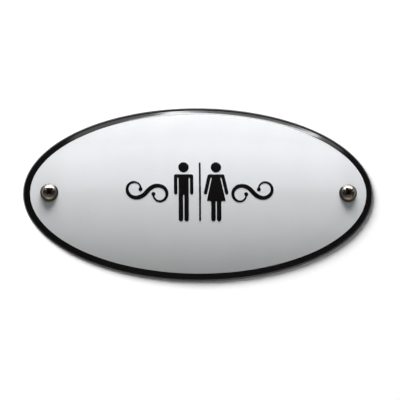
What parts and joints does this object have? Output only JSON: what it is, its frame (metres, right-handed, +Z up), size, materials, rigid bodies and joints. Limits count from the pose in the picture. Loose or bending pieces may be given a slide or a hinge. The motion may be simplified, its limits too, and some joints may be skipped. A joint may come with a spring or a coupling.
{
  "type": "enamel toilet sign",
  "caption": "Domed oval door sign of white enamel on steel, with a black rim, a pair of restroom figures between scrolls, and round-head screws.",
  "frame": {"origin": "middle of the wall plane that the back of the rim rests on, halfway between the two screws", "axes": "+X along the sign to the viewer's right, +Y into the wall, +Z up; the face looks along -Y"},
  "size_m": [0.1, 0.0185, 0.05],
  "materials": {
    "white_enamel": "glossy white vitreous enamel on pressed steel",
    "black_enamel": "glossy black vitreous enamel, fired over the white",
    "screw_metal": "bright nickel plate on steel"
  },
  "bodies": {
    "root": {"plate": "white_enamel", "black_border": "black_enamel", "pictogram": "black_enamel", "left_screw": "screw_metal", "right_screw": "screw_metal"}
  },
  "joints": []
}
